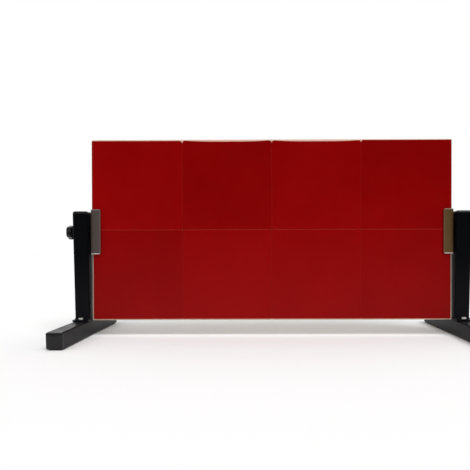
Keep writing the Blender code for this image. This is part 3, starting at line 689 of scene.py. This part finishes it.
def new_vertices(geom):
    """The vertices among all that an operator made."""
    return [item for item in geom if isinstance(item, bmesh.types.BMVert)]


def grown_form(rules, segments, capped=True):
    """Skin a form over a list of rules. Its end loops are capped, or else joined to each other."""
    bm = bmesh.new()
    ring = bmesh.ops.create_circle(bm, cap_ends=False, radius=1.0, segments=segments)["verts"]
    angles = {vertex: math.atan2(vertex.co.y, vertex.co.x) for vertex in ring}
    for vertex in ring:
        vertex.co = rules[0](angles[vertex])
    first_loop = loop = list(bm.edges)
    for rule in rules[1:]:
        fresh = set(new_vertices(bmesh.ops.extrude_edge_only(bm, edges=loop)["geom"]))
        older = angles
        angles = {}
        for vertex, angle in older.items():
            ends = (edge.other_vert(vertex) for edge in vertex.link_edges)
            angles[next(end for end in ends if end in fresh)] = angle
        for vertex, angle in angles.items():
            vertex.co = rule(angle)
        loop = [edge for edge in bm.edges if all(vertex in angles for vertex in edge.verts)]
    if capped:
        for ends in (first_loop, loop):
            bmesh.ops.edgenet_fill(bm, edges=ends)
    else:
        bmesh.ops.bridge_loops(bm, edges=first_loop + loop)
    return bm


print("loop helpers ready")


# %% Define the helpers that make objects
SMOOTH_ANGLE = 35.0


def make_object(name, bm, finish):
    """An object with the mesh of a bmesh and one material."""
    mesh = bpy.data.meshes.new(name)
    bm.to_mesh(mesh)
    bm.free()
    mesh.materials.append(finish)
    return new_object(name, mesh)


def add_piece(name, bm, finish, body, slot_name, carry=None, smooth_angle=SMOOTH_ANGLE):
    """Make a piece of a bmesh carried to its place, with its finish and body; slot_name is not
    used.
    """
    if carry is not None:
        bmesh.ops.transform(bm, matrix=carry, verts=bm.verts)
    bmesh.ops.recalc_face_normals(bm, faces=bm.faces)
    limit = math.radians(smooth_angle)
    for face in bm.faces:
        face.smooth = True
    for edge in bm.edges:
        edge.smooth = len(edge.link_faces) == 2 and edge.calc_face_angle(0.0) < limit
    piece = make_object(name, bm, finish)
    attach(piece, body)
    return piece


print("smooth below", SMOOTH_ANGLE, "degrees")

# %% [markdown]
# ## Lobed knobs
#
# The knob is the only hand control, so it is worth a smooth skin. A cylinder with five grooves cut
# into it would have hard edges. Instead its profile runs from the collar's base, in under the grip,
# out over the lobes and over a dome to a boss. It is given by a few stations, each a share of the
# head's length, of its radius and of the lobes' depth, with a smooth curve through them. The grip's
# radius swings with the cosine of five times the angle.

# %% Describe the knob's profile
KNOB_STEPS = 6
KNOB_STATIONS = (
    # share of the length, share of the radius, share of the lobes' depth
    (0.00, 0.58, 0.00),
    (0.015, 0.78, 0.45),
    (0.06, 0.93, 0.85),
    (0.18, 1.00, 1.00),
    (0.50, 1.00, 1.00),
    (0.70, 0.935, 0.90),
    (0.81, 0.79, 0.55),
    (0.86, 0.55, 0.15),
    (0.872, 0.34, 0.00),
    (0.885, 0.28, 0.00),
    (0.93, 0.26, 0.00),
    (0.975, 0.245, 0.00),
    (1.00, 0.20, 0.00),
    (1.00, 0.03, 0.00),
)


def smooth_stations(stations, steps):
    """Points of a smooth curve that passes each station in line with its neighbours."""
    points = [Vector(station) for station in (stations[0], *stations, stations[-1])]
    curve = [points[0]]
    for before, start, end, after in zip(points, points[1:], points[2:], points[3:]):
        handles = (start + (end - before) / 6, end - (after - start) / 6)
        curve += interpolate_bezier(start, *handles, end, steps + 1)[1:]
    return curve


knob_profile = smooth_stations(KNOB_STATIONS, KNOB_STEPS)
print("points in the knob's profile:", len(knob_profile))

# %% Make the knobs
KNOB_SEGMENTS = 150
KNOB_LOBES = 5
KNOB_LOBE_DEPTH = 0.0036
KNOB_LOBE_TURN = math.radians(18)
COLLAR_RADIUS = 0.0105
COLLAR_LENGTH = 0.009
COLLAR_ROUND = 0.0008
ROUND_MIDDLE = 0.3  # of a quarter round's radius


def lobe_rule(radius, depth, height):
    """Points on the knob's lobed outline."""

    def point(angle):
        swing = 1 - math.cos(KNOB_LOBES * (angle - KNOB_LOBE_TURN))
        return polar(radius - depth * swing / 2, angle, height)

    return point


def make_knob(side):
    """A finer knob in the place of the frame's own, drawn from its seat outwards."""
    node_name = side + "_knob"
    low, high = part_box(node_name)
    sign = 1 if low.x > 0 else -1
    seat = low.x if sign > 0 else high.x
    head = high.x - low.x - COLLAR_LENGTH
    points = [vertex.co - pivot for vertex in nodes[node_name].data.vertices]
    reach = max(math.hypot(point.y, point.z) for point in points)
    rules = [
        circle_rule(COLLAR_RADIUS - COLLAR_ROUND, 0.0),
        circle_rule(COLLAR_RADIUS - COLLAR_ROUND * ROUND_MIDDLE, COLLAR_ROUND * ROUND_MIDDLE),
        circle_rule(COLLAR_RADIUS, COLLAR_ROUND),
        circle_rule(COLLAR_RADIUS, COLLAR_LENGTH - COLLAR_ROUND),
    ]
    for along, across, lobes in knob_profile:
        height = COLLAR_LENGTH + head * min(along, 1.0)
        rules.append(lobe_rule(reach * min(across, 1.0), KNOB_LOBE_DEPTH * max(lobes, 0.0), height))
    bm = grown_form(rules, KNOB_SEGMENTS)
    outwards = Matrix.Rotation(sign * math.pi / 2, 4, "Y")
    carry = turn_board @ Matrix.Translation((seat, 0, 0)) @ outwards
    name, body = side + "_moulded_knob", side + "_clamp_knob"
    knob = add_piece(name, bm, black_moulded_nylon, body, "black_plastic", carry)
    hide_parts(node_name)
    return knob


knobs = [make_knob(side) for side in SIDES]
print("knobs:", [(knob.name, len(knob.data.polygons)) for knob in knobs])

# %% [markdown]
# ## Upper sheets trimmed by hand
#
# The upper row is trimmed by hand after it is glued. The outer sheets and their sponge run out to
# the panel's side edge on the left and nearly to it on the right. Along the top the knife wanders
# in a little between the corners of each sheet, and leaves a small notch where two sheets meet. No
# modifier bends one edge by such a rule, so each layer is drawn again: a rectangle has its corners
# bevelled round and its top edge subdivided and drawn in, then it is extruded through its
# thickness, and a sheet's front rim is eased with a bevel.

# %% Draw the outline of a trimmed sheet
SHEET_CORNER = 0.0022
CORNER_SEGMENTS = 6
DIP_FLATNESS = 3.5
DIP_POINTS = 40


def bevel_part(bm, geom, offset, segments, affect):
    """A round bevel of some edges or corners."""
    bmesh.ops.bevel(
        bm, geom=geom, offset=offset, segments=segments, profile=0.5, affect=affect, material=-1
    )


def trimmed_outline(low, high, radii, dip):
    """A face on the back plane, with four corner radii, and its top edge drawn in by a dip."""
    corners = ((low.x, low.z), (high.x, low.z), (high.x, high.z), (low.x, high.z))
    bm = bmesh.new()
    bm.faces.new([bm.verts.new((x, high.y, z)) for x, z in corners])
    for (x, z), radius in zip(corners, radii):
        corner = min(bm.verts, key=lambda vertex: math.hypot(vertex.co.x - x, vertex.co.z - z))
        bevel_part(bm, [corner], radius, CORNER_SEGMENTS, "VERTICES")
    top = max(bm.edges, key=lambda edge: sum(vertex.co.z for vertex in edge.verts))
    left, right = sorted(vertex.co.x for vertex in top.verts)
    middle, half = (left + right) / 2, (right - left) / 2
    inner = bmesh.ops.subdivide_edges(bm, edges=[top], cuts=DIP_POINTS)["geom_inner"]
    for vertex in new_vertices(inner):
        vertex.co.z -= dip * (1 - abs((vertex.co.x - middle) / half) ** DIP_FLATNESS)
    return bm


print("points along a trimmed edge:", DIP_POINTS)

# %% Make the trimmed sheets
TOP_CUTS = ((0.0013, 0.0001), (0.0005, 0.0035), (0.0006, 0.0034), (0.0, 0.0002))
SEAM_NOTCHES = (0.0090, 0.0085, 0.0075)
LEFT_INSET = 0.0001
RIGHT_INSET = 0.0016
SHEET_EASE = 0.0004
EASE_SEGMENTS = 3
SHEET_SMOOTH_ANGLE = 12.0
panel_low, panel_high = board_box("backing_panel")


def make_trimmed_layer(node_name, column, finish, slot_name, ease=0.0):
    """One layer of the upper row, in the place of the frame's own. Only an eased one is cut in."""
    low, high = board_box(node_name)
    if column == 0:
        low.x = panel_low.x + LEFT_INSET
    if column == SHEET_COLUMNS - 1:
        high.x = panel_high.x - RIGHT_INSET
    radii, dip = [SHEET_CORNER] * 4, 0.0
    if ease:
        whole, dip = TOP_CUTS[column]
        high.z -= whole
        top_radii = (SHEET_CORNER, *SEAM_NOTCHES, SHEET_CORNER)
        radii[2:] = top_radii[column + 1], top_radii[column]
    bm = trimmed_outline(low, high, radii, dip)
    front = new_vertices(bmesh.ops.extrude_face_region(bm, geom=bm.faces[:])["geom"])
    bmesh.ops.translate(bm, vec=(0, low.y - high.y, 0), verts=front)
    if ease:
        rim = [edge for edge in bm.edges if all(vertex in front for vertex in edge.verts)]
        bevel_part(bm, rim, ease, EASE_SEGMENTS, "EDGES")
    name = node_name + "_trimmed"
    layer = add_piece(name, bm, finish, "board", slot_name, turn_board, SHEET_SMOOTH_ANGLE)
    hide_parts(node_name)
    return layer


trimmed = []
for column in range(SHEET_COLUMNS):
    node_name = f"top_sheet_upper_{column + 1}"
    sheet = make_trimmed_layer(node_name, column, red_rubber_sheet, "red_rubber", SHEET_EASE)
    trimmed.append(sheet)
    if column in (0, SHEET_COLUMNS - 1):
        node_name = f"sponge_upper_{column + 1}"
        trimmed.append(make_trimmed_layer(node_name, column, cream_sponge, "sponge"))
print("trimmed:", [layer.name for layer in trimmed])

# %% [markdown]
# ## Glue in the seams
#
# Where two sheets meet, rubber solution is squeezed up between them and dries red. A line in the
# rubber's material could stand for it, but seen from the side a seam would be empty. So narrow bars
# fill the seams to just under the surface. They stop just short of the crossings and of the notches
# at the top, where a small pale spot stays bare.

# %% Fill the seams
GLUE_RECESS = 0.0003
GLUE_PLAY = 0.00002
BARE_CORNER = 0.0008


def add_bar(bm, low, high):
    """A box between two corners."""
    low, high = Vector(low), Vector(high)
    verts = bmesh.ops.create_cube(bm, size=1.0)["verts"]
    bmesh.ops.scale(bm, vec=high - low, verts=verts)
    bmesh.ops.translate(bm, vec=(low + high) / 2, verts=verts)


def make_seam_glue():
    """Narrow bars of dried glue between the sheets."""
    sheet_low, sheet_high = board_box("top_sheet_upper_1")
    half_gap = (board_box("top_sheet_upper_2")[0].x - sheet_high.x) / 2 - GLUE_PLAY
    front = sheet_low.y + GLUE_RECESS
    back = board_box("sponge_upper_1")[1].y
    bm = bmesh.new()
    for column in range(SHEET_COLUMNS):
        left = field_low.x + column * tile_side
        right = left + tile_side
        low = (left + BARE_CORNER, front, field_rise - half_gap)
        high = (right - BARE_CORNER, back, field_rise + half_gap)
        add_bar(bm, low, high)
        if column == 0:
            continue
        rows = (
            (field_low.z, field_rise - BARE_CORNER),
            (field_rise, field_high.z - SEAM_NOTCHES[column - 1]),
        )
        for bottom, top in rows:
            low = (left - half_gap, front, bottom + BARE_CORNER)
            high = (left + half_gap, back, top)
            add_bar(bm, low, high)
    return add_piece("seam_glue", bm, red_rubber_sheet, "board", "red_rubber", turn_board)


seam_glue = make_seam_glue()
print("seam glue faces:", len(seam_glue.data.polygons))

# %% [markdown]
# ## Hexagon bolts
#
# A real bolt head is a hexagon cut by a shallow cone, which leaves a curved scoop at the top of
# each flat and a round top. A bevel would cut the edges straight, so the side ends where the cone
# meets the hexagon, at a height that depends on the direction. The clamp screws lie square to the
# leaning board, and the others upright or level.

# %% Describe a bolt head
CHAMFER_SLOPE = math.tan(math.radians(30.0))
HEAD_TOP_SHARE = 0.47
HEAD_DISH = 0.0003
DISH_STATIONS = ((1.0, 0.0), (0.86, 0.2), (0.80, 1.0), (0.1, 1.0))


def hexagon_rule(width, height, scooped=False):
    """Points on a hexagon: level ones, or those where the chamfer's cone meets its sides."""

    def point(angle):
        from_flat = (angle + math.pi / 6) % (math.pi / 3) - math.pi / 6
        reach = width / 2 / math.cos(from_flat)
        drop = (reach - width * HEAD_TOP_SHARE) * CHAMFER_SLOPE if scooped else 0.0
        return polar(reach, angle, height - drop)

    return point


def dish_rules(radius, height):
    """The round top of a head, with a shallow dish in it."""
    return [circle_rule(radius * out, height - HEAD_DISH * down) for out, down in DISH_STATIONS]


print("chamfer slope:", round(CHAMFER_SLOPE, 3))

# %% Make the bolts
BOLT_SEGMENTS = 72
WASHER_FACE_SHARE = 0.475
WASHER_FACE_HEIGHT = 0.0003
SHANK_TIP = 0.0008
BOLT_SMOOTH_ANGLE = 20.0
BACK, UP = 1, 2
# body, axis, head's height, shank's radius
BASE_BOLT = ("stand", UP, 0.0055, 0.004)
STRETCHER_BOLT = ("stand", BACK, 0.004, 0.003)
CLAMP_SCREW = ("board", BACK, 0.004, 0.003)
BOLTS = {
    "front_base_bolt": BASE_BOLT,
    "rear_base_bolt": BASE_BOLT,
    "upper_stretcher_bolt": STRETCHER_BOLT,
    "upper_clamp_screw": CLAMP_SCREW,
    "lower_stretcher_bolt": STRETCHER_BOLT,
    "lower_clamp_screw": CLAMP_SCREW,
}


def make_bolt(node_name, body, axis, head_height, shank_radius):
    """A bolt in the place of a frame bolt, with its head at the high end of the given axis."""
    in_board = body == "board"
    low, high = board_box(node_name) if in_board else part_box(node_name)
    extent = high - low
    width = min(extent[index] for index in range(3) if index != axis)
    shank_length = extent[axis] - head_height
    rules = [
        circle_rule(shank_radius - SHANK_TIP, -shank_length),
        circle_rule(shank_radius, SHANK_TIP - shank_length),
        circle_rule(shank_radius, 0.0),
        circle_rule(width * WASHER_FACE_SHARE, 0.0),
        circle_rule(width * WASHER_FACE_SHARE, WASHER_FACE_HEIGHT),
        hexagon_rule(width, WASHER_FACE_HEIGHT),
        hexagon_rule(width, head_height, scooped=True),
        *dish_rules(width * HEAD_TOP_SHARE, head_height),
    ]
    seat = (low + high) / 2
    seat[axis] = high[axis] - head_height
    turn = Matrix.Identity(4) if axis == UP else Matrix.Rotation(-math.pi / 2, 4, "X")
    carry = Matrix.Translation(seat) @ turn
    if in_board:
        carry = turn_board @ carry
    bm = grown_form(rules, BOLT_SEGMENTS)
    name = node_name + "_chamfered"
    bolt = add_piece(name, bm, zinc_plated_steel, body, "zinc_steel", carry, BOLT_SMOOTH_ANGLE)
    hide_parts(node_name)
    return bolt


bolts = [make_bolt(f"{side}_{name}", *facts) for side in SIDES for name, facts in BOLTS.items()]
print("bolts:", len(bolts))

# %% [markdown]
# ## Weld beads
#
# Each upright is welded to its base plate. A curve with a round bevel would sink half its width
# into the tube, so the bead is a closed ring whose section is a low convex fillet. Its loops run
# round the tube, one for each point of the section, and the last is joined to the first. Height and
# reach ripple along the way, as the overlapping drops of a weld do. The plate hardly stands out
# past the tube on its long sides, so the bead stays on that ledge there and grows at the front and
# rear.

# %% Walk round the tube
TUBE_CORNER = 0.0045


def round_the_tube(width, depth, share):
    """(point, outward direction, distance) at a share of the way round a rounded rectangle."""
    bend = TUBE_CORNER * math.pi / 2
    sides = (width - 2 * TUBE_CORNER, depth - 2 * TUBE_CORNER)
    distance = 2 * (sum(sides) + 2 * bend) * share
    left, quarter = distance, 0
    while quarter < 3 and left > sides[quarter % 2] + bend:
        left -= sides[quarter % 2] + bend
        quarter += 1
    along, across = sides[quarter % 2], sides[1 - quarter % 2]
    angle = max(left - along, 0.0) / TUBE_CORNER - math.pi / 2
    outward = Vector((math.cos(angle), math.sin(angle)))
    point = Vector((min(left, along) - along / 2, -across / 2)) + outward * TUBE_CORNER
    rotation = Matrix.Rotation(quarter * math.pi / 2, 2)
    return rotation @ point, rotation @ outward, distance


print("tube's corner radius:", TUBE_CORNER)

# %% Lay the weld beads
BEAD_SEGMENTS = 420
BEAD_RIPPLE_PITCH = 0.0021
BEAD_RIPPLE = 0.10
BEAD_DRIFTS = ((0.06, 90.0, 0.0), (0.04, 233.0, 1.0))
BEAD_HEIGHT = 0.0034
BEAD_SIDE_HEIGHT_SHARE = 0.7
BEAD_REACH = 0.0036
BEAD_LEDGE_REACH = 0.0011
BEAD_ARC_STEPS = 6
BEAD_HOLLOW = 0.06
BEAD_ROOT = 0.0004
BEAD_SMOOTH_ANGLE = 60.0
PLATE_THICKNESS = 0.005


def bead_section():
    """Points of the bead's section: shares of its reach and height, and its depth in the tube."""
    section = []
    for step in range(BEAD_ARC_STEPS + 1):
        angle = step / BEAD_ARC_STEPS * math.pi / 2
        bulge = 1.0 - BEAD_HOLLOW * math.sin(2 * angle)
        section.append((math.cos(angle) * bulge, math.sin(angle) * bulge, 0.0))
    return section + [(0.0, 1.0, BEAD_ROOT), (0.0, 0.0, BEAD_ROOT)]


def bead_rule(width, depth, foot, out_share, up_share, root):
    """The loop of one point of the bead's section, round a tube that stands on a foot point."""

    def point(angle):
        spot, outward, distance = round_the_tube(width, depth, angle / math.tau % 1.0)
        swell = 1.0 + BEAD_RIPPLE * math.cos(math.tau * distance / BEAD_RIPPLE_PITCH)
        drifts = (size * math.sin(distance * pace + start) for size, pace, start in BEAD_DRIFTS)
        swell *= 1.0 + sum(drifts)
        facing = abs(outward.y)
        reach = BEAD_LEDGE_REACH + (BEAD_REACH - BEAD_LEDGE_REACH) * facing
        height = BEAD_HEIGHT * (BEAD_SIDE_HEIGHT_SHARE + (1 - BEAD_SIDE_HEIGHT_SHARE) * facing)
        spot = spot + outward * (reach * swell * out_share - root)
        return foot + Vector((spot.x, spot.y, height * swell * up_share))

    return point


def make_weld_bead(side):
    """The fillet weld between an upright and its base plate."""
    cap_low, cap_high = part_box(side + "_upright_cap")
    width, depth = cap_high.x - cap_low.x, cap_high.y - cap_low.y
    foot = (cap_low + cap_high) / 2
    foot.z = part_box(side + "_upright")[0].z + PLATE_THICKNESS
    rules = [bead_rule(width, depth, foot, *shares) for shares in bead_section()]
    bm = grown_form(rules, BEAD_SEGMENTS, capped=False)
    facts = (black_powder_coat, "stand", "black_paint")
    return add_piece(side + "_weld_bead", bm, *facts, smooth_angle=BEAD_SMOOTH_ANGLE)


beads = [make_weld_bead(side) for side in SIDES]
print("weld beads:", [len(bead.data.polygons) for bead in beads])

# %% [markdown]
# ## Foot pads
#
# The pads keep the feet from sliding and from scratching what they stand on. Each is a moulded
# rubber strip with cross ribs on its underside. Separate boxes would leave seams between strip and
# ribs, so the strip is drawn as a comb in profile and extruded, and its outer edges are eased with
# a bevel.

# %% Make the ribbed pads
RIB_COUNT = 12
RIB_SHARE = 0.58
RIB_DEPTH = 0.0008
PAD_EASE = 0.00025
PAD_EASE_SEGMENTS = 2


def comb_outline(low, high):
    """(depth, height) points of a strip with ribs along its underside."""
    pitch = (high.y - low.y) / RIB_COUNT
    rib = pitch * RIB_SHARE
    groove = low.z + RIB_DEPTH
    outline = [(low.y, high.z), (low.y, low.z)]
    for index in range(RIB_COUNT):
        start = low.y + index * pitch + (pitch - rib) * index / (RIB_COUNT - 1)
        if index:
            outline += [(start, groove), (start, low.z)]
        outline += [(start + rib, low.z)]
        if index < RIB_COUNT - 1:
            outline += [(start + rib, groove)]
    return outline + [(high.y, high.z)]


def make_pad(side, end):
    """A strip with ribs across its underside, in the place of the frame's plain pad."""
    node_name = f"{side}_{end}_foot_pad"
    low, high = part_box(node_name)
    bm = bmesh.new()
    bm.faces.new([bm.verts.new((low.x, y, z)) for y, z in comb_outline(low, high)])
    moved = new_vertices(bmesh.ops.extrude_face_region(bm, geom=bm.faces[:])["geom"])
    bmesh.ops.translate(bm, vec=(high.x - low.x, 0, 0), verts=moved)
    bmesh.ops.recalc_face_normals(bm, faces=bm.faces)
    sharp = [edge for edge in bm.edges if edge.calc_face_angle(0.0) > SHARP_ANGLE]
    bevel_part(bm, sharp, PAD_EASE, PAD_EASE_SEGMENTS, "EDGES")
    pad = add_piece(node_name + "_ribbed", bm, matt_black_rubber, "stand", "black_rubber")
    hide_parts(node_name)
    return pad


pads = [make_pad(side, end) for side in SIDES for end in ("front", "rear")]
print("pads:", len(pads))

# %% [markdown]
# ## Floor
#
# The object stands on a plain pale floor with nothing else in view. A curved backdrop would hide
# the horizon, but the sky is as white as the floor, so a wide flat disc does the same.

# %% Lay the floor
FLOOR_RADIUS = 30.0
FLOOR_SEGMENTS = 96
FLOOR_WHITE = (0.93, 0.93, 0.93)
FLOOR_ROUGHNESS = 0.9


def make_floor():
    """A round pale floor."""
    material = start_material("pale_floor", FLOOR_WHITE, FLOOR_ROUGHNESS, specular=0.0)[0]
    bm = bmesh.new()
    bmesh.ops.create_circle(bm, cap_ends=True, radius=FLOOR_RADIUS, segments=FLOOR_SEGMENTS)
    floor = make_object("floor", bm, material)
    return floor


floor = make_floor()
print("floor radius:", FLOOR_RADIUS)

# %% [markdown]
# ## Light and sky
#
# The object stands in soft light from all round. The light of area lamps falls off with distance,
# so three wide sun lamps keep the level the same everywhere, and a colour renders about as it is
# written. The sky is white where the camera sees it. Gloss and glass see the same white beside and
# behind the object, and a dim room on the viewer's side.

# %% Hang the sun lamps
SUNS = (
    # name, strength, width, azimuth, elevation
    ("key", 1.55, 32.0, 28.0, 56.0),
    ("fill", 0.45, 60.0, -50.0, 48.0),
    ("back", 0.55, 60.0, 165.0, 62.0),
)


def make_sun(name, strength, width, azimuth, elevation):
    """A sun lamp. Azimuth 0 shines from the viewer's side and 90 from the right."""
    light = bpy.data.lights.new(name, "SUN")
    light.energy = strength
    light.angle = math.radians(width)
    lamp = new_object(name, light)
    turn = Matrix.Rotation(math.radians(azimuth), 4, "Z")
    tilt = Matrix.Rotation(math.radians(90 - elevation), 4, "X")
    lamp.matrix_world = turn @ tilt
    return lamp


suns = [make_sun(*sun) for sun in SUNS]
print("suns:", [sun.name for sun in suns])

# %% Paint the sky
SKY_FOR_MATT = 0.42
SKY_DIM_SIDE = 0.02
SKY_TURN = (-0.75, 0.15)
SKY_LOW_GLOSS = 0.9
SKY_LOW_HEIGHT = 0.2


def make_sky():
    """White for the camera, dim for gloss on the viewer's side, and even for matt surfaces."""
    world = bpy.data.worlds.new("sky")
    world.use_nodes = True
    tree = world.node_tree
    path = add_node(tree, "ShaderNodeLightPath").outputs
    heading = axes(tree, add_node(tree, "ShaderNodeTexCoord").outputs["Generated"])
    side = spread(tree, heading["Y"], SKY_DIM_SIDE, 1.0, *SKY_TURN)
    low = spread(tree, heading["Z"], SKY_LOW_GLOSS, 0.0, 0.0, SKY_LOW_HEIGHT)
    around = arithmetic(tree, "MAXIMUM", side, low)
    seen = arithmetic(tree, "MAXIMUM", path["Is Camera Ray"], path["Is Transmission Ray"])
    gloss = arithmetic(tree, "MULTIPLY", path["Is Glossy Ray"], around)
    white = arithmetic(tree, "MAXIMUM", seen, gloss)
    special = arithmetic(tree, "MAXIMUM", seen, path["Is Glossy Ray"])
    plain = arithmetic(tree, "SUBTRACT", 1.0, special)
    matt = arithmetic(tree, "MULTIPLY", plain, SKY_FOR_MATT)
    background = tree.nodes["Background"]
    background.inputs["Color"].default_value = (1.0, 1.0, 1.0, 1.0)
    tree.links.new(arithmetic(tree, "ADD", white, matt), background.inputs["Strength"])
    return world


bpy.context.scene.world = make_sky()
bpy.context.scene.view_settings.view_transform = "Standard"
print("world:", bpy.context.scene.world.name)
